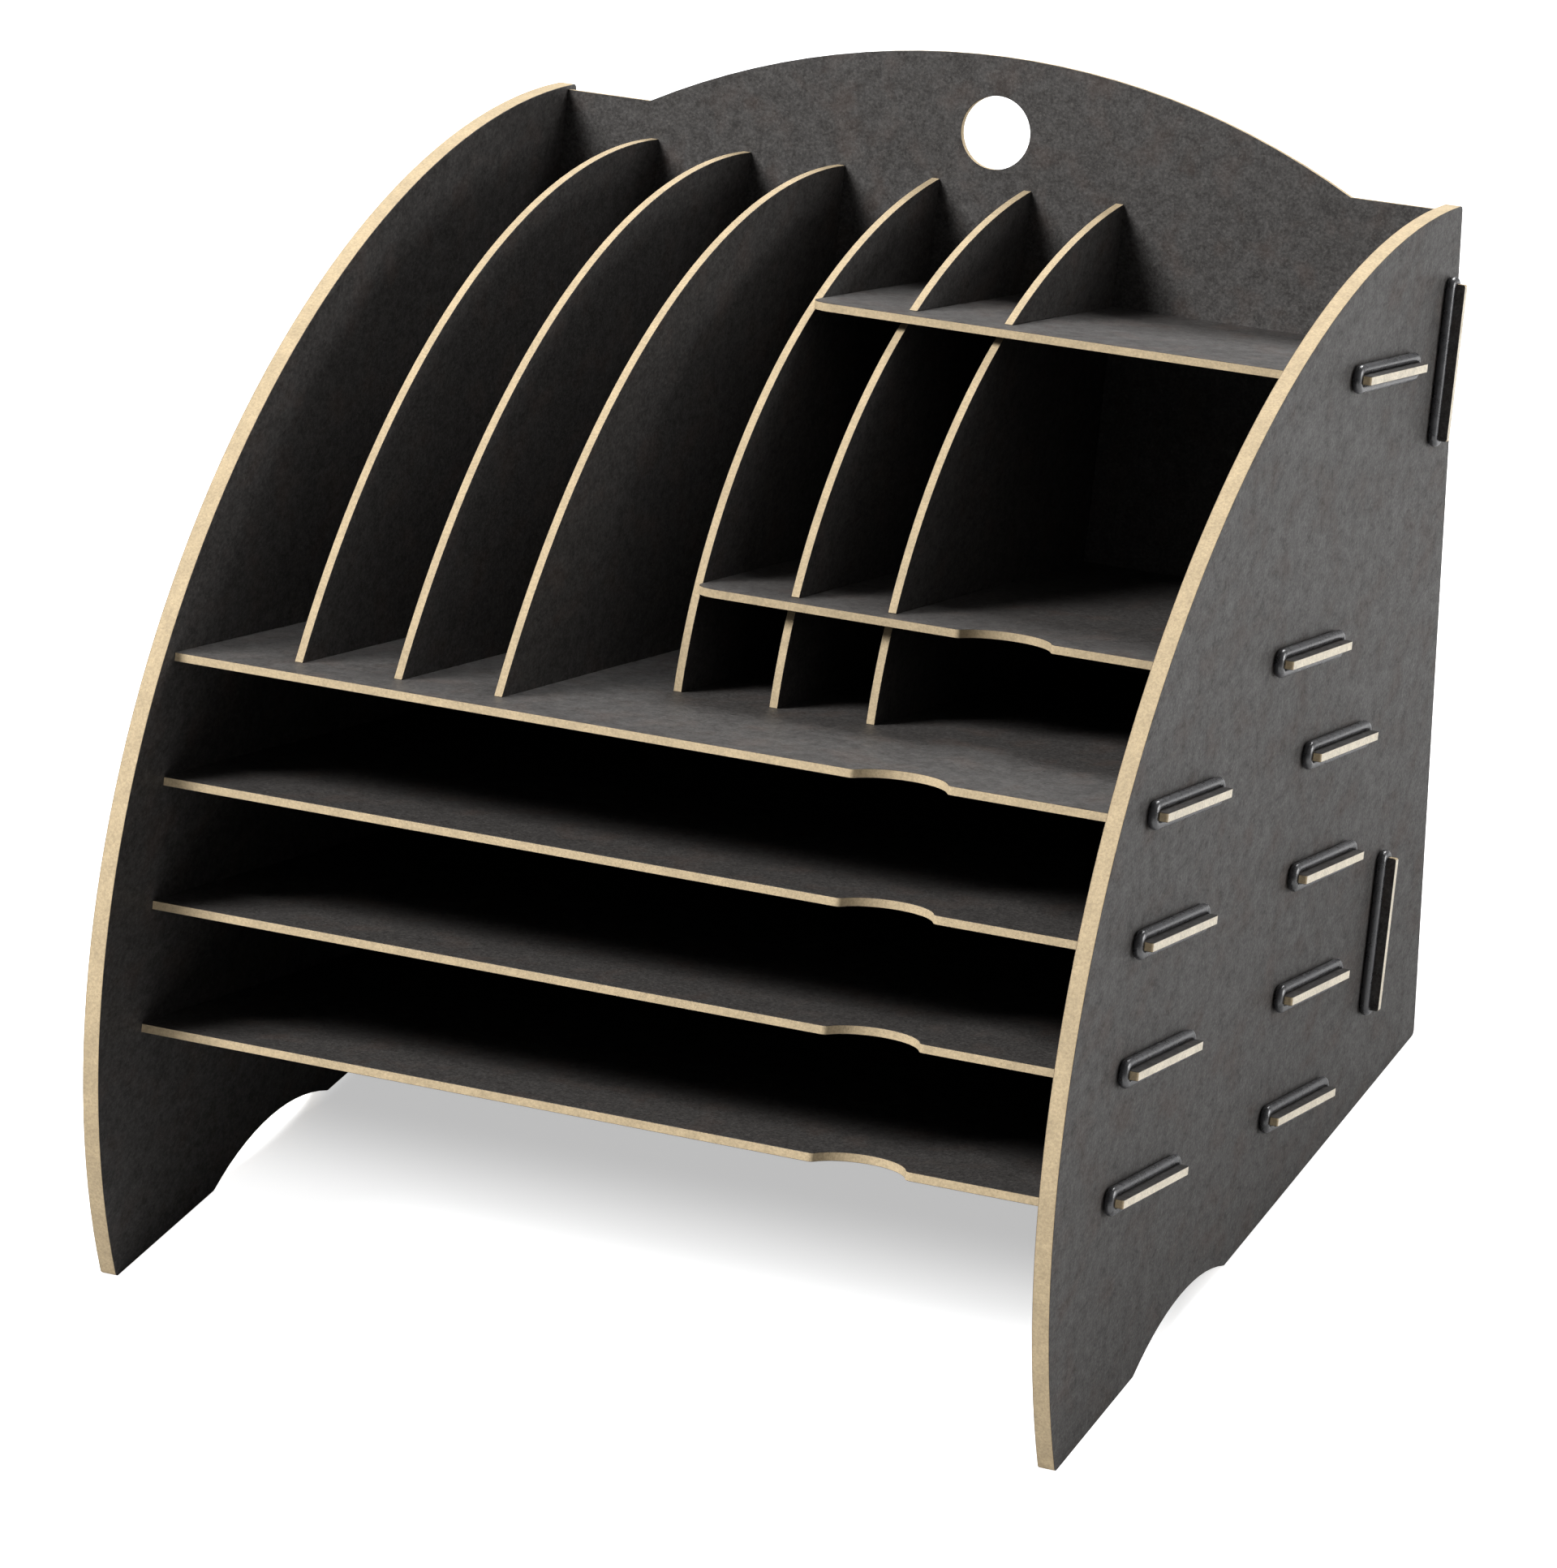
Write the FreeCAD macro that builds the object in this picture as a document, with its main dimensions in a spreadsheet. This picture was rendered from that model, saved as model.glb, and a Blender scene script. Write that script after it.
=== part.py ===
import FreeCAD, Part

import math
import os

import Sketcher

# A desk organiser of flat boards that slot together. Two side panels stand on the desk and carry
# three letter trays, a deck, a middle shelf and a top shelf, all sloping down towards a back
# panel that is square to them. Six dividers stand on the deck. Every tab that comes through a
# panel is held by a rubber ring in its neck, so the organiser needs no glue and no screws.
#
# +X is to the right, +Y to the back and +Z up, in millimetres. The origin is on the desk, under
# the middle of the organiser.

SIZES = {
    # boards
    "board": 2.8,  # thickness of the shelves, the dividers and the back
    "side_board": 5.5,  # thickness of the two side panels
    "fit": 0.1,  # gap on each side of a tab or a board in its slot
    "tilt": 13.9,  # slope of the shelves and lean of the back, in degrees
    "inner_width": 309.0,  # between the side panels: a sheet held crossways, and finger room
    # trays, deck and shelves
    "tray_depth": 260.0,  # from the front edge of a tray or the deck to the back panel
    "tray_pitch": 39.2,  # from one tray to the next, and from the top tray to the deck
    "floor_gap": 16.0,  # under the rear edge of the lowest tray's upper face
    "middle_depth": 181.4,
    "middle_level": 33.9,  # upper face of the middle shelf, above the deck
    "top_depth": 108.2,
    "top_level": 118.9,  # upper face of the top shelf, above the deck
    "shelf_corner": 8.0,  # rounding of these two shelves' free front corner
    # finger notch in a front edge
    "notch_width": 30.5,
    "notch_depth": 11.0,
    "notch_inset": 67.5,  # from its middle to the right side panel
    # dividers
    "first_bay": 33.4,  # from the left side panel to the middle of the first divider
    "letter_pitch": 34.0,
    "pen_pitch": 32.5,
    "tall_setback": 18.6,  # from the deck's front edge to a tall divider
    "low_setback": 79.4,  # from the deck's front edge to a low divider
    "divider_height": 152.8,
    "low_centre_back": 49.1,  # centre of the low dividers' curve, behind the back panel's face
    "low_centre_drop": 15.6,  # and below the deck
    # tabs and rings
    "tab": 60.0,  # length of a shelf's tab and of a divider's rear tab
    "back_tab": 51.2,  # length of a back panel's tab
    "short_tab": 40.0,  # length of a tab that ends flush with the board it goes through
    "ring": 3.2,  # section of a rubber ring
    "ring_flat": 0.8,  # what its rounded ends leave straight
    "neck": 1.0,  # depth of the two notches in a tab that hold its ring
    "tab_head": 2.8,  # what a tab stands out past its ring
    "tab_corner": 0.8,  # rounding of the head's two corners
    "front_tab_setback": 16.0,  # from a tray's front edge to its front tab
    "rear_tab_inset": 37.0,  # from a tray's rear tab to the back panel
    "middle_tab_setback": 43.8,
    "top_tab_setback": 17.1,
    "lower_back_tab": 72.6,  # middle of the back panel's lower tabs, below the deck
    "upper_back_tab": 116.6,  # middle of its upper tabs, above the deck
    # back panel
    "shoulder_level": 165.2,  # above the deck
    "shoulder_width": 30.3,
    "arch_rise": 30.3,
    "hole": 24.3,  # diameter of the finger hole
    "hole_drop": 25.2,  # from the top of the arch to the middle of the hole
    # side panels
    "top_margin": 7.1,  # from the back panel's face to the rear top corner
    "foot_reach": 29.5,  # from the lowest tray's front edge to the foremost point
    "deck_margin": 7.5,  # from the deck's front edge to the front curve
    "bulge_height": 57.3,  # height of the foremost point
    "rear_lean": 9.9,  # from the rear foot to the rear top corner
    "front_foot": 66.6,
    "foot_arch_span": 82.4,
    "foot_arch_rise": 8.7,
    "corner": 2.0,  # rounding of the side panels' corners and of the notches' mouths
}

doc = FreeCAD.newDocument("organiser")
driving = doc.addObject("Spreadsheet::Sheet", "Sizes")
derived = doc.addObject("Spreadsheet::Sheet", "Places")


class Size:
    """A size of the model: its number, and the spreadsheet formula that gives it."""

    def __init__(self, number, formula):
        self.number = number
        self.formula = formula

    def __neg__(self):
        return Size(-self.number, f"(0 - {self.formula})")

    def __add__(self, other):
        other = as_size(other)
        return Size(self.number + other.number, f"({self.formula} + {other.formula})")

    def __sub__(self, other):
        other = as_size(other)
        return Size(self.number - other.number, f"({self.formula} - {other.formula})")

    def __mul__(self, other):
        other = as_size(other)
        return Size(self.number * other.number, f"({self.formula} * {other.formula})")

    def __truediv__(self, other):
        other = as_size(other)
        return Size(self.number / other.number, f"({self.formula} / {other.formula})")


def as_size(value):
    return value if isinstance(value, Size) else Size(float(value), repr(float(value)))


def root(size):
    return Size(math.sqrt(size.number), f"sqrt({size.formula})")


def sine(size):
    return Size(math.sin(math.radians(size.number)), f"sin({size.formula})")


def cosine(size):
    return Size(math.cos(math.radians(size.number)), f"cos({size.formula})")


def drive(row, alias):
    """Writes one driving dimension into its own row of the first sheet."""
    driving.set(f"A{row}", alias)
    driving.set(f"B{row}", str(SIZES[alias]))
    driving.setAlias(f"B{row}", alias)
    return Size(SIZES[alias], f"Sizes.{alias}")


def place(alias, size):
    """Keeps a worked-out value in the second sheet, and returns it under its short name."""
    row = len(placed) + 1
    derived.set(f"A{row}", alias)
    derived.set(f"B{row}", f"={size.formula}")
    derived.setAlias(f"B{row}", alias)
    placed[alias] = size.number
    return Size(size.number, f"Places.{alias}")


S = {alias: drive(row, alias) for row, alias in enumerate(SIZES, start=1)}
placed = {}
zero = as_size(0)
board = S["board"]
half_board = board / 2

NEAR = 0.01
THROUGH = 1.0  # how far an open slit's sketch runs past the edge it starts from
TALL = 3  # of the six dividers, the first three are tall and the rest low
parts = []

# Where the boards stand across the organiser

inner = place("inner", S["inner_width"] / 2)
outer = place("outer", inner + S["side_board"])
ring_end = place("ring_end", outer + S["ring"])
notch_place = place("notch_place", inner - S["notch_inset"])
divider_places = [place("divider_1_place", S["first_bay"] - inner)]
for number, pitch in enumerate(["letter_pitch"] * TALL + ["pen_pitch"] * 2, start=2):
    divider_places.append(place(f"divider_{number}_place", divider_places[-1] + S[pitch]))
short_shelf_end = place("short_shelf_end", divider_places[TALL] + half_board)

# The sloping frame of the shelves: "back" runs along them to the back panel's face, "up" is
# square to them. Its corner is where the deck's upper face meets the back panel.

cos_tilt = place("cos_tilt", cosine(S["tilt"]))
sin_tilt = place("sin_tilt", sine(S["tilt"]))
tray_levels = [-(S["tray_pitch"] * count) for count in (3, 2, 1)]
panel_bottom = place("panel_bottom", tray_levels[0] - board)
deck_height = place("deck_height", S["floor_gap"] - tray_levels[0] * cos_tilt)
shoulder_run = place("shoulder_run", (S["shoulder_level"] - tray_levels[0]) * sin_tilt)
tray_run = place("tray_run", S["tray_depth"] * cos_tilt)
side_depth = place("side_depth", S["top_margin"] + shoulder_run + tray_run + S["foot_reach"])
arch_top = place("arch_top", S["shoulder_level"] + S["arch_rise"])
arch_overhang = place("arch_overhang", S["arch_rise"] * sin_tilt + board * cos_tilt - S["top_margin"])
half_depth = place("half_depth", (side_depth + arch_overhang) / 2)
rear_corner = place("rear_corner", side_depth - half_depth)
shoulder_sink = place("shoulder_sink", S["shoulder_level"] * sin_tilt)
deck_back = place("deck_back", rear_corner - S["top_margin"] - shoulder_sink)
rear_top = place("rear_top", deck_height + S["shoulder_level"] * cos_tilt)
tall_depth = place("tall_depth", S["tray_depth"] - S["tall_setback"])
low_depth = place("low_depth", S["tray_depth"] - S["low_setback"])

# The front curve of a side panel is part of an ellipse with level axes. It touches the foremost
# point, passes just ahead of the deck's front edge and ends at the rear top corner.

deck_front_run = place("deck_front_run", half_depth + deck_back - tray_run - S["deck_margin"])
deck_front_rise = place(
    "deck_front_rise", deck_height + S["tray_depth"] * sin_tilt - S["bulge_height"]
)
rear_top_rise = place("rear_top_rise", rear_top - S["bulge_height"])
rise_share = place("rise_share", deck_front_rise / rear_top_rise)
rise_square = place("rise_square", rise_share * rise_share)
curve_long = place(
    "curve_long",
    (rise_square * side_depth * side_depth - deck_front_run * deck_front_run)
    / ((rise_square * side_depth - deck_front_run) * 2),
)
curve_middle = place("curve_middle", curve_long - half_depth)
rear_share = place("rear_share", (rear_corner - curve_middle) / curve_long)
curve_high = place("curve_high", rear_top_rise / root(as_size(1) - rear_share * rear_share))
foot_share = place("foot_share", S["bulge_height"] / curve_high)
foot_front = place(
    "foot_front", curve_middle - curve_long * root(as_size(1) - foot_share * foot_share)
)


class Arc:
    """A round edge of an outline: the part of a circle between two of its corners."""

    def __init__(self, centre, radius, clockwise=False):
        self.centre = centre
        self.radius = radius
        self.clockwise = clockwise

    def curve(self):
        return Part.Circle(vector(*self.centre), FreeCAD.Vector(0, 0, 1), self.radius.number)

    def hold(self, sketch, edge):
        bind(sketch, Sketcher.Constraint("Radius", edge, self.radius.number), self.radius)


class EllipseArc:
    """A round edge that is part of an ellipse with one level and one upright axis."""

    def __init__(self, centre, level, upright):
        self.centre = centre
        self.level = level
        self.upright = upright
        self.clockwise = False

    def curve(self):
        return Part.Ellipse(vector(*self.centre), self.level.number, self.upright.number)

    def hold(self, sketch, edge):
        axis = sketch.GeometryCount
        sketch.exposeInternalGeometry(edge)
        sketch.addConstraint(Sketcher.Constraint("Horizontal", axis))
        for line, half in ((axis, self.level), (axis + 1, self.upright)):
            bind(sketch, Sketcher.Constraint("Distance", line, 2 * half.number), half * 2)
        hold_point(sketch, edge, 3, *self.centre)


def vector(x, y):
    return FreeCAD.Vector(x.number, y.number, 0)


def bind(sketch, constraint, size):
    """Adds a dimension to a sketch and ties it to the sheets."""
    index = sketch.addConstraint(constraint)
    sketch.setExpression(f"Constraints[{index}]", size.formula)


def hold_point(sketch, edge, end, x=None, y=None):
    """Dimensions an edge's end (1 or 2) or centre (3) from the sketch's origin."""
    for kind, size in (("DistanceX", x), ("DistanceY", y)):
        if size is not None:
            bind(sketch, Sketcher.Constraint(kind, -1, 1, edge, end, size.number), size)


def open_sketch(body, role, offset=None):
    """Opens a sketch on one of the body's own planes, or on a moved and turned copy of it."""
    plane = [item for item in body.Origin.OriginFeatures if item.Role == role][0]
    sketch = body.newObject("Sketcher::SketchObject", f"{body.Name}_sketch")
    sketch.AttachmentSupport = [(plane, "")]
    sketch.MapMode = "FlatFace"
    if offset:
        sketch.setExpression("AttachmentOffset", offset)
    return sketch


def draw_outline(sketch, path):
    """Draws a closed outline, counter-clockwise. The path lists its corners, and an arc stands
    between the two corners it joins. A corner's third item names the coordinate, x or y, that
    the curve beside it gives."""
    corners, arcs, edges = [], {}, []
    for item in path:
        if isinstance(item, tuple):
            corners.append(item if len(item) == 3 else (*item, ""))
        else:
            arcs[len(corners) - 1] = item
    for number, (x, y, _) in enumerate(corners):
        start = vector(x, y)
        end = vector(*corners[(number + 1) % len(corners)][:2])
        shape = Part.LineSegment(start, end)
        backwards = False
        if number in arcs:
            curve = arcs[number].curve()
            backwards = arcs[number].clockwise
            first, last = (end, start) if backwards else (start, end)
            shape = curve.trim(curve.parameter(first), curve.parameter(last))
        edge = sketch.addGeometry(shape)
        edges.append((edge, 2 if backwards else 1, 1 if backwards else 2))
    for number, (edge, start, _) in enumerate(edges):
        before, _, end = edges[number - 1]
        sketch.addConstraint(Sketcher.Constraint("Coincident", before, end, edge, start))
        x, y, free = corners[number]
        old_x, old_y, _ = corners[number - 1]
        straight = number > 0 and number - 1 not in arcs
        if straight and x.formula == old_x.formula:
            sketch.addConstraint(Sketcher.Constraint("Vertical", before))
        elif free != "x":
            hold_point(sketch, edge, start, x=x)
        if straight and y.formula == old_y.formula:
            sketch.addConstraint(Sketcher.Constraint("Horizontal", before))
        elif free != "y":
            hold_point(sketch, edge, start, y=y)
    for number, arc in arcs.items():
        arc.hold(sketch, edges[number][0])


def draw_box(sketch, left, right, low, high):
    draw_outline(sketch, [(left, low), (right, low), (right, high), (left, high)])


def draw_slot(sketch, x, y, width, height):
    """Draws the slot for a tab or board of this section, with the fit's gap all round."""
    half_width = width / 2 + S["fit"]
    half_height = height / 2 + S["fit"]
    draw_box(sketch, x - half_width, x + half_width, y - half_height, y + half_height)


def tab_tips(middle, length, seat, through):
    """The two outer corners of the head of a tab that goes through a board."""
    end = seat + through + S["ring"] + S["tab_head"]
    return [(end, middle - length / 2), (end, middle + length / 2)]


def headed_tab(middle, length, seat, through):
    """Corners of a tab that goes through a board, with a neck for its ring and a head."""
    (end, low), (_, high) = tab_tips(middle, length, seat, through)
    neck_end = end - S["tab_head"]
    face = neck_end - S["ring"]
    return [
        (seat, low),
        (face, low),
        (face, low + S["neck"]),
        (neck_end, low + S["neck"]),
        (neck_end, low),
        (end, low),
        (end, high),
        (neck_end, high),
        (neck_end, high - S["neck"]),
        (face, high - S["neck"]),
        (face, high),
        (seat, high),
    ]


def plain_tab(middle, length, seat, through):
    """Corners of a tab that ends flush with the far face of the board it goes through."""
    low = middle - length / 2
    high = middle + length / 2
    return [(seat, low), (seat + through, low), (seat + through, high), (seat, high)]


def mirrored(corners):
    return [(-x, y) for x, y in reversed(corners)]


def turned_down(corners):
    """Turns a rear edge's tab to the underside of a board that stands on its lower edge."""
    return [(y, -x) for x, y in corners]


def pad(body, sketch, thickness, reversed_side=False):
    feature = body.newObject("PartDesign::Pad", f"{body.Name}_pad")
    feature.Profile = sketch
    feature.Reversed = reversed_side
    feature.setExpression("Length", thickness.formula)
    doc.recompute()
    return feature


def pocket(body, sketch, reversed_side=False):
    """Cuts the sketch through the whole body, and makes sure that it cut something."""
    before = body.Shape.Volume
    feature = body.newObject("PartDesign::Pocket", f"{body.Name}_pocket")
    feature.Profile = sketch
    feature.Type = "ThroughAll"
    feature.Reversed = reversed_side
    doc.recompute()
    if body.Shape.Volume >= before:
        raise RuntimeError(f"{feature.Name} cuts nothing")
    return feature


def round_corners(body, spots, radius, drop):
    """Rounds the edges across the board that stand at these places of its outline. The axis
    to drop, 0 for x to 2 for z, is the one across the board."""
    base = body.Tip
    names = []
    for number, edge in enumerate(base.Shape.Edges, start=1):
        ends = [[v for axis, v in enumerate(vertex.Point) if axis != drop] for vertex in edge.Vertexes]
        for x, y in spots:
            if all(math.dist(end, (x.number, y.number)) < NEAR for end in ends):
                names.append(f"Edge{number}")
    feature = body.newObject("PartDesign::Fillet", f"{body.Name}_fillet")
    feature.Base = (base, names)
    feature.setExpression("Radius", radius.formula)
    doc.recompute()
    return feature


def tilted(x, back, up):
    """The placement formula of a point of the sloping frame, turned with its boards."""
    y = deck_back + back * cos_tilt + up * sin_tilt
    z = deck_height - back * sin_tilt + up * cos_tilt
    turn = f"rotation(vector(1; 0; 0); 0 - {S['tilt'].formula})"
    return f"placement(vector({x.formula}; {y.formula}; {z.formula}); {turn})"


def new_body(label, placement):
    body = doc.addObject("PartDesign::Body", label)
    body.setExpression("Placement", placement)
    return body


# Side panels: two mirror-image boards on edge, with a low arch between their feet. The right one
# has slots for every shelf, the left one only for the trays, the deck and the back panel.

front_tab = place("front_tab", S["front_tab_setback"] + S["tab"] / 2 - S["tray_depth"])
rear_tab = place("rear_tab", -(S["rear_tab_inset"] + S["tab"] / 2))
middle_tab = place("middle_tab", S["middle_tab_setback"] + S["tab"] / 2 - S["middle_depth"])
top_tab = place("top_tab", S["top_tab_setback"] + S["tab"] / 2 - S["top_depth"])
back_tabs = [-S["lower_back_tab"], S["upper_back_tab"]]
full_levels = tray_levels + [zero]

arch_front = place("arch_front", foot_front + S["front_foot"])
arch_rear = place("arch_rear", arch_front + S["foot_arch_span"])
rear_foot = place("rear_foot", rear_corner - S["rear_lean"])
half_span = S["foot_arch_span"] / 2
foot_arch_radius = place(
    "foot_arch_radius",
    (half_span * half_span + S["foot_arch_rise"] * S["foot_arch_rise"])
    / (S["foot_arch_rise"] * 2),
)


def make_side_panel(label, inner_face, right_side):
    body = new_body(label, f"placement(vector({inner_face.formula}; 0; 0); rotation(0; 0; 0))")
    sketch = open_sketch(body, "YZ_Plane")
    arch_centre = (arch_front + half_span, S["foot_arch_rise"] - foot_arch_radius)
    draw_outline(
        sketch,
        [
            (foot_front, zero, "x"),
            (arch_front, zero),
            Arc(arch_centre, foot_arch_radius, clockwise=True),
            (arch_rear, zero),
            (rear_foot, zero),
            (rear_corner, rear_top, "y"),
            EllipseArc((curve_middle, S["bulge_height"]), curve_long, curve_high),
        ],
    )
    pad(body, sketch, S["side_board"])
    turn = f"rotation(vector(0; 0; 1); 0 - {S['tilt'].formula})"
    offset = f"placement(vector({deck_back.formula}; {deck_height.formula}; 0); {turn})"
    slots = open_sketch(body, "YZ_Plane", offset)
    for level in full_levels:
        for tab in (front_tab, rear_tab):
            draw_slot(slots, tab, level - half_board, S["tab"], board)
    if right_side:
        draw_slot(slots, middle_tab, S["middle_level"] - half_board, S["tab"], board)
        draw_slot(slots, top_tab, S["top_level"] - half_board, S["tab"], board)
    for tab in back_tabs:
        draw_slot(slots, half_board, tab, board, S["back_tab"])
    pocket(body, slots, reversed_side=True)
    corners = [(foot_front, zero), (rear_foot, zero), (rear_corner, rear_top)]
    corners += [(arch_front, zero), (arch_rear, zero)]
    round_corners(body, corners, S["corner"], drop=0)
    parts.append(body)


make_side_panel("side_panel_left", -outer, right_side=False)
make_side_panel("side_panel_right", inner, right_side=True)

# Trays and deck: four boards of one outline, with two tabs on each side and a finger notch in the
# front edge. The deck alone is slotted, for the feet of the six dividers.

half_notch = S["notch_width"] / 2
notch_radius = place(
    "notch_radius",
    (half_notch * half_notch + S["notch_depth"] * S["notch_depth"]) / (S["notch_depth"] * 2),
)
divider_depths = [tall_depth if number < TALL else low_depth for number in range(len(divider_places))]


def notched_front(left, right, front):
    """The front edge of a shelf, from left to right, with the finger notch scooped out of it."""
    notch_centre = (notch_place, front + S["notch_depth"] - notch_radius)
    return [
        (left, front),
        (notch_place - half_notch, front),
        Arc(notch_centre, notch_radius, clockwise=True),
        (notch_place + half_notch, front),
        (right, front),
    ]


def notch_mouth(front):
    return [(notch_place - half_notch, front), (notch_place + half_notch, front)]


def make_full_shelf(label, level):
    body = new_body(label, tilted(zero, zero, level))
    sketch = open_sketch(body, "XY_Plane")
    front = -S["tray_depth"]
    right_tabs, tips = [], []
    for tab in (front_tab, rear_tab):
        right_tabs += headed_tab(tab, S["tab"], inner, S["side_board"])
        tips += tab_tips(tab, S["tab"], inner, S["side_board"])
    path = notched_front(-inner, inner, front)
    path += right_tabs + [(inner, zero), (-inner, zero)] + mirrored(right_tabs)
    draw_outline(sketch, path)
    pad(body, sketch, board, reversed_side=True)
    if level is zero:
        slots = open_sketch(body, "XY_Plane")
        for x, depth in zip(divider_places, divider_depths):
            draw_slot(slots, x, -(depth / 2), board, S["short_tab"])
        pocket(body, slots)
    round_corners(body, notch_mouth(front), S["corner"], drop=2)
    round_corners(body, tips + mirrored(tips), S["tab_corner"], drop=2)
    parts.append(body)


for label, level in zip(("tray_lower", "tray_middle", "tray_upper", "deck"), full_levels):
    make_full_shelf(label, level)

# Middle and top shelf: they run from the fourth divider to the right side panel. The last two
# dividers cross them, each board slit halfway: the shelf from the rear, the divider from the front.


def make_short_shelf(label, level, depth, tab, notched):
    body = new_body(label, tilted(zero, zero, level))
    sketch = open_sketch(body, "XY_Plane")
    path = [(short_shelf_end, -depth), (inner, -depth)]
    if notched:
        path = notched_front(short_shelf_end, inner, -depth)
    path += headed_tab(tab, S["tab"], inner, S["side_board"])
    path += [(inner, zero), (short_shelf_end, zero)]
    path += mirrored(plain_tab(tab, S["short_tab"], -short_shelf_end, board))
    draw_outline(sketch, path)
    pad(body, sketch, board, reversed_side=True)
    slits = open_sketch(body, "XY_Plane")
    half_slit = half_board + S["fit"]
    for x in divider_places[TALL + 1 :]:
        draw_box(slits, x - half_slit, x + half_slit, -(depth / 2), as_size(THROUGH))
    pocket(body, slits)
    round_corners(body, [(short_shelf_end, -depth)], S["shelf_corner"], drop=2)
    round_corners(body, tab_tips(tab, S["tab"], inner, S["side_board"]), S["tab_corner"], drop=2)
    if notched:
        round_corners(body, notch_mouth(-depth), S["corner"], drop=2)
    parts.append(body)


make_short_shelf("middle_shelf", S["middle_level"], S["middle_depth"], middle_tab, notched=True)
make_short_shelf("top_shelf", S["top_level"], S["top_depth"], top_tab, notched=False)

# Back panel: square to the shelves, with two tabs on each side, level shoulders, a flat arch and
# a round finger hole. A slot takes the rear tab of each divider.

arch_half = place("arch_half", inner - S["shoulder_width"])
arch_radius = place(
    "arch_radius",
    (arch_half * arch_half + S["arch_rise"] * S["arch_rise"]) / (S["arch_rise"] * 2),
)
top_shelf_underside = S["top_level"] - board
divider_tab = place("divider_tab", (S["middle_level"] + top_shelf_underside) / 2)

back_panel = new_body("back_panel", tilted(zero, zero, zero))
sketch = open_sketch(back_panel, "XZ_Plane")
right_tabs, tips = [], []
for tab in back_tabs:
    right_tabs += headed_tab(tab, S["back_tab"], inner, S["side_board"])
    tips += tab_tips(tab, S["back_tab"], inner, S["side_board"])
draw_outline(
    sketch,
    [(-inner, panel_bottom), (inner, panel_bottom)]
    + right_tabs
    + [(inner, S["shoulder_level"]), (arch_half, S["shoulder_level"])]
    + [Arc((zero, arch_top - arch_radius), arch_radius)]
    + [(-arch_half, S["shoulder_level"]), (-inner, S["shoulder_level"])]
    + mirrored(right_tabs),
)
pad(back_panel, sketch, board, reversed_side=True)
openings = open_sketch(back_panel, "XZ_Plane")
for x in divider_places:
    draw_slot(openings, x, divider_tab, board, S["tab"])
hole_place = (zero, arch_top - S["hole_drop"])
hole = openings.addGeometry(
    Part.Circle(vector(*hole_place), FreeCAD.Vector(0, 0, 1), SIZES["hole"] / 2)
)
bind(openings, Sketcher.Constraint("Diameter", hole, SIZES["hole"]), S["hole"])
hold_point(openings, hole, 3, *hole_place)
pocket(back_panel, openings)
round_corners(back_panel, tips + mirrored(tips), S["tab_corner"], drop=1)
parts.append(back_panel)

# Dividers: boards that stand on the deck against the back panel. The three on the left are tall
# and their edge is an arc that ends level; the three on the right are low and their edge is part
# of an ellipse. The fourth takes the left ends of the two short shelves.

tall_radius = place(
    "tall_radius",
    (tall_depth * tall_depth + S["divider_height"] * S["divider_height"])
    / (S["divider_height"] * 2),
)
low_front = place("low_front", low_depth + S["low_centre_back"])
low_top = place("low_top", S["divider_height"] + S["low_centre_drop"])
back_square = place("back_square", S["low_centre_back"] * S["low_centre_back"])
drop_square = place("drop_square", S["low_centre_drop"] * S["low_centre_drop"])
low_square = place("low_square", low_front * low_front * low_top * low_top - back_square * drop_square)
low_level = place("low_level", root(low_square / (low_top * low_top - drop_square)))
low_upright = place("low_upright", root(low_square / (low_front * low_front - back_square)))
TALL_EDGE = Arc((zero, S["divider_height"] - tall_radius), tall_radius)
LOW_EDGE = EllipseArc((S["low_centre_back"], -S["low_centre_drop"]), low_level, low_upright)


def make_divider(label, x, depth, edge):
    body = new_body(label, tilted(x - half_board, zero, zero))
    sketch = open_sketch(body, "YZ_Plane")
    foot = plain_tab(-(depth / 2), S["short_tab"], zero, board)
    path = [(-depth, zero, "x" if edge is LOW_EDGE else "")]
    path += turned_down(foot) + [(zero, zero)]
    path += headed_tab(divider_tab, S["tab"], zero, board)
    path += [(zero, S["divider_height"], "y" if edge is LOW_EDGE else ""), edge]
    draw_outline(sketch, path)
    pad(body, sketch, board)
    round_corners(body, tab_tips(divider_tab, S["tab"], zero, board), S["tab_corner"], drop=0)
    return body


for number, (x, depth) in enumerate(zip(divider_places, divider_depths)):
    body = make_divider(f"divider_{number + 1}", x, depth, TALL_EDGE if number < TALL else LOW_EDGE)
    if number >= TALL:
        cuts = open_sketch(body, "YZ_Plane")
        for level, shelf_depth, tab in (
            (S["middle_level"], S["middle_depth"], middle_tab),
            (S["top_level"], S["top_depth"], top_tab),
        ):
            if number == TALL:
                draw_slot(cuts, tab, level - half_board, S["short_tab"], board)
            else:
                low = level - board - S["fit"]
                slit_end = -(shelf_depth / 2)
                draw_box(cuts, -(low_depth + THROUGH), slit_end, low, level + S["fit"])
        pocket(body, cuts, reversed_side=True)
    parts.append(body)

# Rings: loops of rubber with rounded ends. Each is stretched over the head of a tab into its neck,
# and holds the board that the tab comes through.

ring_bend = place("ring_bend", half_board + S["ring"] - S["ring_flat"] / 2)


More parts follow.
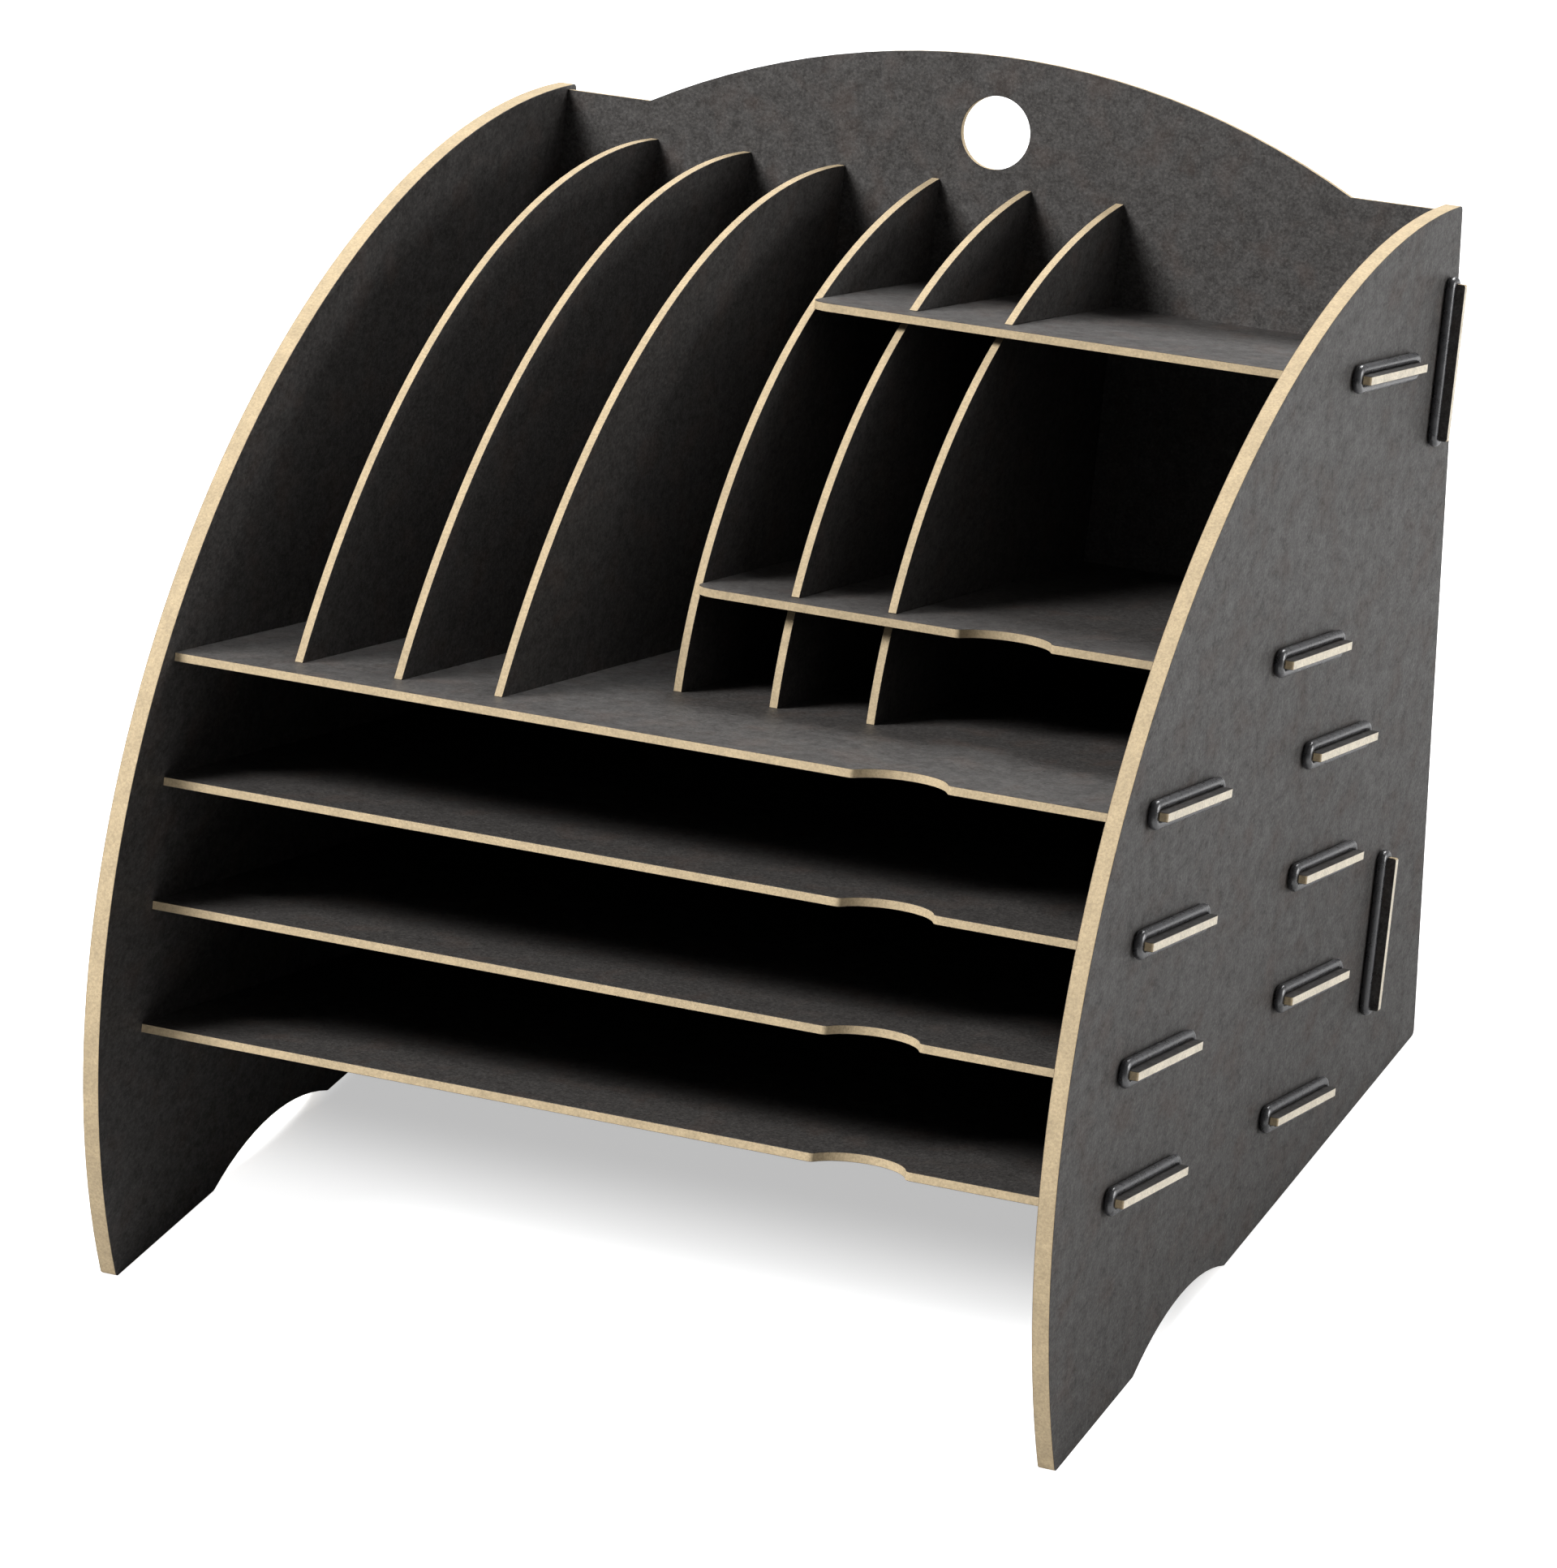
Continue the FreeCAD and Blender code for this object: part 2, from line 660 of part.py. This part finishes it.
def make_ring(label, role, half_width, half_height):
    """Makes a ring round a neck of this section, on the face of the board it presses on."""
    body = doc.addObject("PartDesign::Body", label)
    right = half_width + S["ring"]
    top = half_height + S["ring"]
    bend_x = right - ring_bend
    bend_y = top - ring_bend
    sketch = open_sketch(body, role)
    draw_outline(
        sketch,
        [
            (-bend_x, -top),
            (bend_x, -top),
            Arc((bend_x, -bend_y), ring_bend),
            (right, -bend_y),
            (right, bend_y),
            Arc((bend_x, bend_y), ring_bend),
            (bend_x, top),
            (-bend_x, top),
            Arc((-bend_x, bend_y), ring_bend),
            (-right, bend_y),
            (-right, -bend_y),
            Arc((-bend_x, -bend_y), ring_bend),
        ],
    )
    draw_box(sketch, -half_width, half_width, -half_height, half_height)
    pad(body, sketch, S["ring"], reversed_side=role == "XZ_Plane")
    return body


half_neck = S["tab"] / 2 - S["neck"]
shelf_ring = make_ring("shelf_ring", "YZ_Plane", half_neck, half_board)
back_ring = make_ring("back_ring", "YZ_Plane", half_board, S["back_tab"] / 2 - S["neck"])
divider_ring = make_ring("divider_ring", "XZ_Plane", half_board, half_neck)


def make_rings(label, ring, places):
    """Sets a copy of the ring at each place, and keeps them together as one sub-part."""
    copies = []
    for number, spot in enumerate(places, start=1):
        copy = doc.addObject("App::Link", f"{label}_{number}")
        copy.LinkedObject = ring
        copy.setExpression("Placement", tilted(*spot))
        copies.append(copy)
    group = doc.addObject("Part::Compound", label)
    group.Links = copies
    parts.append(group)


sides = (-ring_end, outer)
for shelf, level in zip(("tray_lower", "tray_middle", "tray_upper", "deck"), full_levels):
    spots = [(x, tab, level - half_board) for x in sides for tab in (front_tab, rear_tab)]
    make_rings(f"rings_{shelf}", shelf_ring, spots)
make_rings("ring_middle_shelf", shelf_ring, [(outer, middle_tab, S["middle_level"] - half_board)])
make_rings("ring_top_shelf", shelf_ring, [(outer, top_tab, S["top_level"] - half_board)])
make_rings("rings_back_panel", back_ring, [(x, half_board, tab) for x in sides for tab in back_tabs])
make_rings("rings_dividers", divider_ring, [(x, board, divider_tab) for x in divider_places])

# Checks and files: nothing is written unless every object is sound.

doc.recompute()
for alias, number in placed.items():
    if abs(float(derived.get(alias)) - number) > NEAR:
        raise RuntimeError(f"the sheet gives {derived.get(alias)} for {alias}, not {number}")
for item in doc.Objects:
    if "Invalid" in item.State or "Error" in item.State:
        raise RuntimeError(f"{item.Name} failed: {item.State}")
for part in parts:
    if part.Shape.isNull() or not part.Shape.isValid():
        raise RuntimeError(f"{part.Label} has no sound shape")

os.makedirs("parts", exist_ok=True)
for part in parts:
    part.Shape.exportStep(os.path.join("parts", f"{part.Label}.step"))
    print(part.Label, len(part.Shape.Solids), round(part.Shape.Volume))
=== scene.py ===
import math

import bmesh
import bpy
from mathutils import Matrix, Vector


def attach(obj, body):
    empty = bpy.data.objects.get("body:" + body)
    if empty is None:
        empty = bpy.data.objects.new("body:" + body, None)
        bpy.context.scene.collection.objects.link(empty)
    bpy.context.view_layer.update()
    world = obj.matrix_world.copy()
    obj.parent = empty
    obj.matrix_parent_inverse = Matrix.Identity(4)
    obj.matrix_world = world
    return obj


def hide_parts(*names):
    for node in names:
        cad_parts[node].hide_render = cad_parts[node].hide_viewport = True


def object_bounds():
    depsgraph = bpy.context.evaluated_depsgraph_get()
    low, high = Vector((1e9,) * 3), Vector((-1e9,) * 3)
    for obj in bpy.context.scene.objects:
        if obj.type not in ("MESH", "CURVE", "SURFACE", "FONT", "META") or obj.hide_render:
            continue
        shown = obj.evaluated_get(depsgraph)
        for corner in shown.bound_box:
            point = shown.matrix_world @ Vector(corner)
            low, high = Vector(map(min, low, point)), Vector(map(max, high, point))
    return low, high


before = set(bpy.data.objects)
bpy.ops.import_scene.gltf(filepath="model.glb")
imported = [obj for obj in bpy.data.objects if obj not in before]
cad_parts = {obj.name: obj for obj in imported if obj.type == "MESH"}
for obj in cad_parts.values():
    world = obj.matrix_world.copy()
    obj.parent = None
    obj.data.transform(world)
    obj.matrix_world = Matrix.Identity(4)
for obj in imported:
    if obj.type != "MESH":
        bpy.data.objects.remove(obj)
cad_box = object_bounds()

# Side panels
# Two mirror-image boards of fibreboard, faced on both sides with a charcoal paper laminate and cut
# to a curved front and a low arch between the feet. The cut leaves the tan core bare all round.

MM = 0.001
MERGE = 0.001 * MM
WORN_EDGE = 0.12 * MM
WORN_ANGLE = math.radians(40)
CREASE_ANGLE = math.radians(30)
FLAT_ANGLE = math.radians(0.2)
ALONG_BOARD = 0.99  # cosine, of a face that lies along the board
TAB_END = 0.9  # cosine, of a face at the end of a tab
RING_FACE = 163.2 * MM  # the rings' outer face, from the middle of the organiser
CORE_TAN = (0.435, 0.34, 0.21, 1)
# The paler cream of the tab ends is painted light, not a colour of the board.
CORE_CREAM_PAINTED_LIGHT = (0.66, 0.60, 0.49, 1)
CORE_BROWN = (0.20, 0.125, 0.055, 1)
LAMINATE_DARK = (0.023, 0.021, 0.020, 1)
LAMINATE_MID = (0.043, 0.040, 0.0385, 1)
LAMINATE_PALE = (0.084, 0.079, 0.074, 1)
LAMINATE_RUST = (0.064, 0.044, 0.036, 1)
LAMINATE_DUST = (0.13, 0.123, 0.112, 1)


def feed(tree, socket, value):
    """Sets a node's socket, or links it to another node's socket."""
    if isinstance(value, bpy.types.NodeSocket):
        tree.links.new(value, socket)
    else:
        socket.default_value = value


def add_node(tree, kind, inputs=None, **settings):
    node = tree.nodes.new(kind)
    for key, value in settings.items():
        setattr(node, key, value)
    for key, value in (inputs or {}).items():
        feed(tree, node.inputs[key], value)
    return node


class Shader:
    """A material's node tree, and short ways to add nodes to it."""

    def __init__(self, name):
        self.material = bpy.data.materials.new(name)
        self.material.use_nodes = True
        self.tree = self.material.node_tree
        self.surface = self.tree.nodes["Principled BSDF"]

    def add(self, kind, inputs=None, **settings):
        return add_node(self.tree, kind, inputs, **settings)

    def place(self, stretch=(1, 1, 1)):
        """Object coordinates, in metres, stretched along one or more axes."""
        spot = self.add("ShaderNodeTexCoord").outputs["Object"]
        return self.add("ShaderNodeMapping", {"Vector": spot, "Scale": stretch}).outputs[0]

    def noise(self, where, size, detail=3.0, roughness=0.5, distortion=0.0):
        """Soft noise whose blots are about this size."""
        inputs = {"Vector": where, "Scale": 1 / size, "Detail": detail}
        inputs.update({"Roughness": roughness, "Distortion": distortion})
        return self.add("ShaderNodeTexNoise", inputs).outputs["Fac"]

    def ramp(self, value, *stops):
        """Colours by value: each stop is (position, colour)."""
        node = self.add("ShaderNodeValToRGB", {"Fac": value})
        while len(node.color_ramp.elements) < len(stops):
            node.color_ramp.elements.new(1.0)
        for element, (position, colour) in zip(node.color_ramp.elements, stops):
            element.position = position
            element.color = colour
        return node.outputs["Color"]

    def grey(self, value, *stops):
        """A ramp of plain numbers: each stop is (position, number)."""
        return self.ramp(value, *((at, (number, number, number, 1)) for at, number in stops))

    def mix(self, share, first, second, blend="MIX"):
        """Mixes two colours: 6 and 7 are the node's sockets for them."""
        inputs = {0: share, 6: first, 7: second}
        return self.add("ShaderNodeMix", inputs, data_type="RGBA", blend_type=blend).outputs[2]

    def finish(self, **inputs):
        """Sets or links the surface's own sockets, named with _ for a space."""
        for key, value in inputs.items():
            feed(self.tree, self.surface.inputs[key.replace("_", " ")], value)
        return self.material

    def bump(self, height, depth):
        inputs = {"Height": height, "Distance": depth, "Strength": 1.0}
        return self.add("ShaderNodeBump", inputs).outputs["Normal"]


def make_laminate():
    """Charcoal paper: matt and mottled, with short curled fibres and pale specks of dust."""
    shader = Shader("charcoal_laminate")
    where = shader.place((1, 0.65, 1))
    mottle = shader.noise(where, 1.0 * MM, detail=3, roughness=0.6)
    curl = shader.noise(where, 2.2 * MM, detail=3, distortion=2.5)
    blotch = shader.noise(where, 4.0 * MM, detail=4, roughness=0.65)
    tint = shader.noise(where, 12 * MM, detail=3)
    colour = shader.ramp(
        mottle, (0.22, LAMINATE_DARK), (0.5, LAMINATE_MID), (0.85, LAMINATE_PALE)
    )
    pale = shader.grey(curl, (0.48, 0.0), (0.5, 0.35), (0.52, 0.0))
    colour = shader.mix(pale, colour, LAMINATE_PALE)
    dark = shader.grey(curl, (0.60, 0.0), (0.62, 0.4), (0.64, 0.0))
    colour = shader.mix(dark, colour, LAMINATE_DARK)
    rusty = shader.grey(tint, (0.52, 0.0), (0.70, 0.34))
    colour = shader.mix(rusty, colour, LAMINATE_RUST)
    blotches = shader.grey(blotch, (0.30, 0.91), (0.70, 1.10))
    colour = shader.mix(1.0, colour, blotches, "MULTIPLY")
    dust = shader.noise(where, 0.6 * MM, detail=1)
    dusty = shader.grey(dust, (0.60, 0.0), (0.76, 0.35))
    colour = shader.mix(dusty, colour, LAMINATE_DUST)
    roughness = shader.grey(tint, (0.3, 0.48), (0.7, 0.60))
    shine = shader.grey(blotch, (0.34, 0.14), (0.66, 0.40))
    normal = shader.bump(mottle, 0.09 * MM)
    surface = {"Base_Color": colour, "Roughness": roughness, "Specular_IOR_Level": shine}
    return shader.finish(Normal=normal, **surface)


def make_core():
    """The bare cut edge: tan fibreboard, speckled, denser and browner just under the laminate. The
    ends of the tabs, turned across the organiser, are painted a paler cream: painted light."""
    shader = Shader("bare_fibreboard_edge")
    where = shader.place()
    grain = shader.noise(where, 0.8 * MM, detail=4, roughness=0.7)
    patch = shader.noise(where, 7 * MM, detail=3)
    speck = shader.noise(where, 0.55 * MM, detail=1)
    depth = shader.add("ShaderNodeAttribute", attribute_name="depth").outputs["Fac"]
    # The tab ends take the paler cream: painted light on the faces turned across the organiser.
    painted_light_tip = shader.add("ShaderNodeAttribute", attribute_name="painted_light_tip").outputs["Fac"]
    colour = shader.mix(painted_light_tip, CORE_TAN, CORE_CREAM_PAINTED_LIGHT)
    grains = shader.grey(grain, (0.32, 0.80), (0.70, 1.20))
    colour = shader.mix(1.0, colour, grains, "MULTIPLY")
    patches = shader.grey(patch, (0.35, 0.93), (0.65, 1.06))
    colour = shader.mix(1.0, colour, patches, "MULTIPLY")
    specks = shader.grey(speck, (0.66, 0.0), (0.76, 0.4))
    colour = shader.mix(specks, colour, CORE_BROWN)
    skin = shader.grey(depth, (0.0, 0.6), (0.08, 0.0), (0.92, 0.0), (1.0, 0.6))
    colour = shader.mix(skin, colour, CORE_BROWN)
    normal = shader.bump(grain, 0.06 * MM)
    return shader.finish(Base_Color=colour, Roughness=0.82, Normal=normal)


laminate = make_laminate()
core = make_core()


def make_board(node):
    """A board with its node's shape, slightly worn corners, laminate on its two faces and bare
    core on its edges. Its attribute "depth" runs from 0 to 1 through the board, and its attribute
    for the tab ends is 1 on the ends of the tabs that stand out past the rings, where the core is
    painted
    paler: painted light."""
    mesh = bpy.data.meshes.new(node)
    shape = bmesh.new()
    shape.from_mesh(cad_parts[node].data)
    bmesh.ops.remove_doubles(shape, verts=shape.verts, dist=MERGE)
    bmesh.ops.dissolve_limit(shape, angle_limit=FLAT_ANGLE, verts=shape.verts, edges=shape.edges)
    across = max(shape.faces, key=lambda face: face.calc_area()).normal.copy()
    for face in shape.faces:
        face.material_index = 0 if abs(face.normal.dot(across)) > ALONG_BOARD else 1
    worn = [edge for edge in shape.edges if edge.calc_face_angle(0) > WORN_ANGLE]
    bmesh.ops.bevel(shape, geom=worn, offset=WORN_EDGE, segments=1, affect="EDGES", material=0)
    bmesh.ops.triangulate(shape, faces=[face for face in shape.faces if len(face.verts) > 4])
    shape.to_mesh(mesh)
    shape.free()
    places = [vertex.co.dot(across) for vertex in mesh.vertices]
    low, high = min(places), max(places)
    depth = mesh.attributes.new("depth", "FLOAT", "POINT")
    depth.data.foreach_set("value", [(place - low) / (high - low) for place in places])
    painted_light_tip = mesh.attributes.new("painted_light_tip", "FLOAT", "FACE")
    # Ends of the tabs, turned across the organiser, are marked for painted light: a paler core.
    painted_light_tips = [
        float(abs(face.normal.x) > TAB_END and abs(face.center.x) > RING_FACE)
        for face in mesh.polygons
    ]
    painted_light_tip.data.foreach_set("value", painted_light_tips)
    mesh.shade_smooth()
    mesh.set_sharp_from_angle(angle=CREASE_ANGLE)
    for face in mesh.polygons:
        face.use_smooth = face.use_smooth and abs(face.normal.dot(across)) < ALONG_BOARD
    board = bpy.data.objects.new(f"{node}_board", mesh)
    bpy.context.scene.collection.objects.link(board)
    board.data.materials.append(laminate)
    board.data.materials.append(core)
    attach(board, "root")
    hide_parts(node)
    return board


for side in ("left", "right"):
    make_board(f"side_panel_{side}")

# Trays and deck
# Four boards of one outline, thinner than the side panels, pushed through them by two tabs on each
# side. A finger notch is scooped out of each front edge, and the deck is slotted for the dividers.

for board in ("tray_lower", "tray_middle", "tray_upper", "deck"):
    make_board(board)

# Back panel
# A board with a flat arch for a top edge and a round finger hole, held between the side panels by
# its own four tabs, square to the shelves.

make_board("back_panel")

# Dividers
# Six curved boards that stand on the deck, their rear tabs through the back panel. The three on
# the left are tall, for letters, and the three on the right low, to carry the two shelves.

for number in range(1, 7):
    make_board(f"divider_{number}")

# Middle and top shelf
# Two short boards from the fourth divider to the right side panel. They cross the last two
# dividers in slits, each board cut halfway.

for board in ("middle_shelf", "top_shelf"):
    make_board(board)

# Rubber rings
# A round rubber cord, moulded as a loop, is stretched over the head of each tab into its neck. Its
# corners hug the board's and its long sides press flat on the panel.

CORD = 3.2 * MM
CORD_BEND = 2.6 * MM
CORD_SIDES = 20
BEND_STEPS = 7
RUBBER_BLACK = (0.024, 0.024, 0.027, 1)
RUBBER_DUST = (0.050, 0.050, 0.055, 1)


def make_rubber():
    """Black rubber with a dull sheen and a dusty, finely pitted skin."""
    shader = Shader("black_rubber")
    where = shader.place()
    pits = shader.noise(where, 0.35 * MM, detail=2)
    dust = shader.noise(where, 3 * MM, detail=4, roughness=0.65)
    colour = shader.ramp(dust, (0.4, RUBBER_BLACK), (0.75, RUBBER_DUST))
    roughness = shader.grey(dust, (0.35, 0.24), (0.7, 0.36))
    normal = shader.bump(pits, 0.02 * MM)
    surface = {"Base_Color": colour, "Roughness": roughness, "Specular_IOR_Level": 1.0}
    return shader.finish(Normal=normal, **surface)


rubber = make_rubber()


def make_ring_tree():
    """Puts a ring, a round cord bent round a rounded rectangle, at each point of a mesh."""
    tree = bpy.data.node_groups.new("rubber_rings", "GeometryNodeTree")
    sockets = tree.interface
    sockets.new_socket("Points", in_out="INPUT", socket_type="NodeSocketGeometry")
    for name in ("Length", "Height", "Bend", "Cord"):
        sockets.new_socket(name, in_out="INPUT", socket_type="NodeSocketFloat")
    sockets.new_socket("Turn", in_out="INPUT", socket_type="NodeSocketRotation")
    sockets.new_socket("Rubber", in_out="INPUT", socket_type="NodeSocketMaterial")
    sockets.new_socket("Rings", in_out="OUTPUT", socket_type="NodeSocketGeometry")

    def add(kind, inputs=None, **settings):
        return add_node(tree, kind, inputs, **settings)

    given = add("NodeGroupInput").outputs
    half = add("ShaderNodeMath", {0: given["Cord"], 1: 2.0}, operation="DIVIDE").outputs[0]
    loop = add(
        "GeometryNodeCurvePrimitiveQuadrilateral",
        {"Width": given["Length"], "Height": given["Height"]},
    )
    bent = add(
        "GeometryNodeFilletCurve",
        {"Curve": loop.outputs["Curve"], "Radius": given["Bend"], "Count": BEND_STEPS},
        mode="POLY",
    )
    round_section = {"Resolution": CORD_SIDES, "Radius": half}
    section = add("GeometryNodeCurvePrimitiveCircle", round_section)
    cord = add(
        "GeometryNodeCurveToMesh",
        {"Curve": bent.outputs["Curve"], "Profile Curve": section.outputs["Curve"]},
    )
    rings = add(
        "GeometryNodeInstanceOnPoints",
        {"Points": given["Points"], "Instance": cord.outputs["Mesh"], "Rotation": given["Turn"]},
    )
    real = add("GeometryNodeRealizeInstances", {"Geometry": rings.outputs["Instances"]})
    painted = add(
        "GeometryNodeSetMaterial",
        {"Geometry": real.outputs["Geometry"], "Material": given["Rubber"]},
    )
    smooth = add("GeometryNodeSetShadeSmooth", {"Geometry": painted.outputs["Geometry"]})
    add("NodeGroupOutput", {"Rings": smooth.outputs["Geometry"]})
    return tree


ring_tree = make_ring_tree()


def loose_solids(node):
    """The corner lists of a node's separate solids."""
    shape = bmesh.new()
    shape.from_mesh(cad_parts[node].data)
    bmesh.ops.remove_doubles(shape, verts=shape.verts, dist=MERGE)
    waiting = set(shape.verts)
    solids = []
    for start in shape.verts:
        if start not in waiting:
            continue
        waiting.remove(start)
        found = [start]
        for vertex in found:
            for edge in vertex.link_edges:
                other = edge.other_vert(vertex)
                if other in waiting:
                    waiting.remove(other)
                    found.append(other)
        solids.append([vertex.co.copy() for vertex in found])
    shape.free()
    return solids


def extent(corners, axis):
    places = [corner.dot(axis) for corner in corners]
    return min(places), max(places)


def make_rings(node, axes):
    """Rings in place of a node's solids. The axes are those of a ring's length, of its height and
    of the tab through it."""
    solids = loose_solids(node)
    turn = Matrix(axes).transposed()
    centres = []
    for corners in solids:
        middle = [sum(extent(corners, axis)) / 2 for axis in axes]
        centres.append(turn @ Vector(middle))
    long, high = (extent(solids[0], axis) for axis in axes[:2])
    points = bpy.data.meshes.new(node)
    points.from_pydata(centres, [], [])
    rings = bpy.data.objects.new(f"{node}_rubber", points)
    bpy.context.scene.collection.objects.link(rings)
    sweep = rings.modifiers.new("rings", "NODES")
    sweep.node_group = ring_tree
    sizes = {
        "Length": long[1] - long[0] - CORD,
        "Height": high[1] - high[0] - CORD,
        "Bend": CORD_BEND,
        "Cord": CORD,
        "Turn": turn.to_euler(),
        "Rubber": rubber,
    }
    for item in ring_tree.interface.items_tree:
        if item.name in sizes:
            sweep[item.identifier] = sizes[item.name]
    evaluated = rings.evaluated_get(bpy.context.evaluated_depsgraph_get())
    rings.data = bpy.data.meshes.new_from_object(evaluated)
    rings.modifiers.clear()
    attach(rings, "root")
    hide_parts(node)


# The shelves slope together, so one set of axes serves them all: across, up and back.
across = Vector((1, 0, 0))
deck_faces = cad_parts["deck"].data.polygons
up = max(deck_faces, key=lambda face: face.area).normal.copy()
if up.z < 0:
    up.negate()
back = up.cross(across)
for node in ("rings_tray_lower", "rings_tray_middle", "rings_tray_upper", "rings_deck"):
    make_rings(node, (back, up, -across))
for node in ("ring_middle_shelf", "ring_top_shelf"):
    make_rings(node, (back, up, -across))
make_rings("rings_back_panel", (up, back, across))
make_rings("rings_dividers", (up, across, -back))

# Floor, light and camera
# A pale floor that the camera sees as white, but that glows less to the camera under the
# organiser:
# a painted shade there, over the traced shadow. The key softbox stands high at the front left, one
# behind gives the shelves their sheen and a low one lights the right side, in a surround that
# brightens toward the right rear.

FLOOR_SIZE = 30.0
FLOOR_PALE = (0.60, 0.60, 0.60, 1)
FLOOR_GLOW_IN_PAINTED_SHADE = 0.50
SHADE_MIDDLE = (0, 0.07, 0)
SHADE_SIDES = (0.150, 0.168)  # from full painted shade to none, on each side of its middle
SHADE_FRONT = (0.095, 0.18)
SURROUND_LEFT = 0.02
SURROUND_RIGHT = 0.40
RIGHT_REAR = (0.8, 0.6, 0.0)

bpy.ops.mesh.primitive_plane_add(size=FLOOR_SIZE, location=(0, 0, 0))
floor = bpy.context.active_object
floor.name = "floor"
shader = Shader("pale_floor")
seen = shader.add("ShaderNodeLightPath").outputs["Is Camera Ray"]
shader.finish(Base_Color=FLOOR_PALE, Roughness=0.9)
ends = {0: shader.place(), 1: SHADE_MIDDLE}
offset = shader.add("ShaderNodeVectorMath", ends, operation="SUBTRACT").outputs[0]
offset = shader.add("ShaderNodeVectorMath", {0: offset}, operation="ABSOLUTE").outputs[0]
away = shader.add("ShaderNodeSeparateXYZ", {"Vector": offset}).outputs
# The camera's glow dips under the organiser, down to the glow at full shade: a painted shade.
painted_shade_glows = []
for distance, (near, far) in ((away["X"], SHADE_SIDES), (away["Y"], SHADE_FRONT)):
    ranges = {"Value": distance, "From Min": near, "From Max": far, "To Min": FLOOR_GLOW_IN_PAINTED_SHADE}
    node = shader.add("ShaderNodeMapRange", ranges, interpolation_type="SMOOTHSTEP")
    painted_shade_glows.append(node.outputs[0])
painted_shade_glow = shader.add("ShaderNodeMath", {0: painted_shade_glows[0], 1: painted_shade_glows[1]}, operation="MAXIMUM").outputs[0]
power = shader.add("ShaderNodeMath", {0: seen, 1: painted_shade_glow}, operation="MULTIPLY")
glow = shader.add("ShaderNodeEmission", {"Strength": power.outputs[0]})
both = shader.add("ShaderNodeAddShader", {0: shader.surface.outputs[0], 1: glow.outputs[0]})
output = shader.tree.nodes["Material Output"]
shader.tree.links.new(both.outputs[0], output.inputs["Surface"])
floor.data.materials.append(shader.material)

world = bpy.data.worlds.new("surround")
bpy.context.scene.world = world
world.use_nodes = True
tree = world.node_tree
way = add_node(tree, "ShaderNodeTexCoord").outputs["Generated"]
facing = add_node(
    tree, "ShaderNodeVectorMath", {0: way, 1: RIGHT_REAR}, operation="DOT_PRODUCT"
).outputs["Value"]
ranges = {"Value": facing, "From Min": -1.0, "To Min": SURROUND_LEFT, "To Max": SURROUND_RIGHT}
dim = add_node(tree, "ShaderNodeMapRange", ranges).outputs["Result"]
seen = add_node(tree, "ShaderNodeLightPath").outputs["Is Camera Ray"]
level = add_node(tree, "ShaderNodeMapRange", {"Value": seen, "To Min": dim})
surround = tree.nodes["Background"].inputs
surround["Color"].default_value = (1, 1, 1, 1)
tree.links.new(level.outputs["Result"], surround["Strength"])

aim = Vector((0, 0, (cad_box[0].z + cad_box[1].z) / 2))


def add_softbox(name, place, width, watts):
    """A square lamp with a soft edge of shadow, turned to the middle of the organiser."""
    lamp = bpy.data.lights.new(name, "AREA")
    lamp.size = width
    lamp.energy = watts
    softbox = bpy.data.objects.new(name, lamp)
    softbox.location = place
    softbox.rotation_euler = (aim - softbox.location).to_track_quat("-Z", "Y").to_euler()
    bpy.context.scene.collection.objects.link(softbox)


add_softbox("key_softbox", place=Vector((-1.17, -1.3, 2.05)), width=1.0, watts=105)
add_softbox("rear_softbox", place=Vector((0.12, 1.5, 1.6)), width=0.9, watts=37)
add_softbox("right_softbox", place=Vector((1.5, 0.6, 0.50)), width=0.8, watts=14)

CAMERA_PLACE = Vector((0.80923, -1.93705, 1.01627))
CAMERA_AZIMUTH = math.radians(22.76)
CAMERA_ELEVATION = math.radians(22.93)
CAMERA_ROLL = math.radians(0.59)
CAMERA_LENS = 164.2

view = bpy.data.cameras.new("camera")
view.lens = CAMERA_LENS
camera = bpy.data.objects.new("camera", view)
heading = Matrix.Rotation(CAMERA_AZIMUTH, 4, "Z")
tilt = Matrix.Rotation(math.pi / 2 - CAMERA_ELEVATION, 4, "X")
roll = Matrix.Rotation(CAMERA_ROLL, 4, "Z")
camera.matrix_world = Matrix.Translation(CAMERA_PLACE) @ heading @ tilt @ roll
bpy.context.scene.collection.objects.link(camera)
bpy.context.scene.camera = camera
bpy.context.scene.view_settings.view_transform = "Standard"
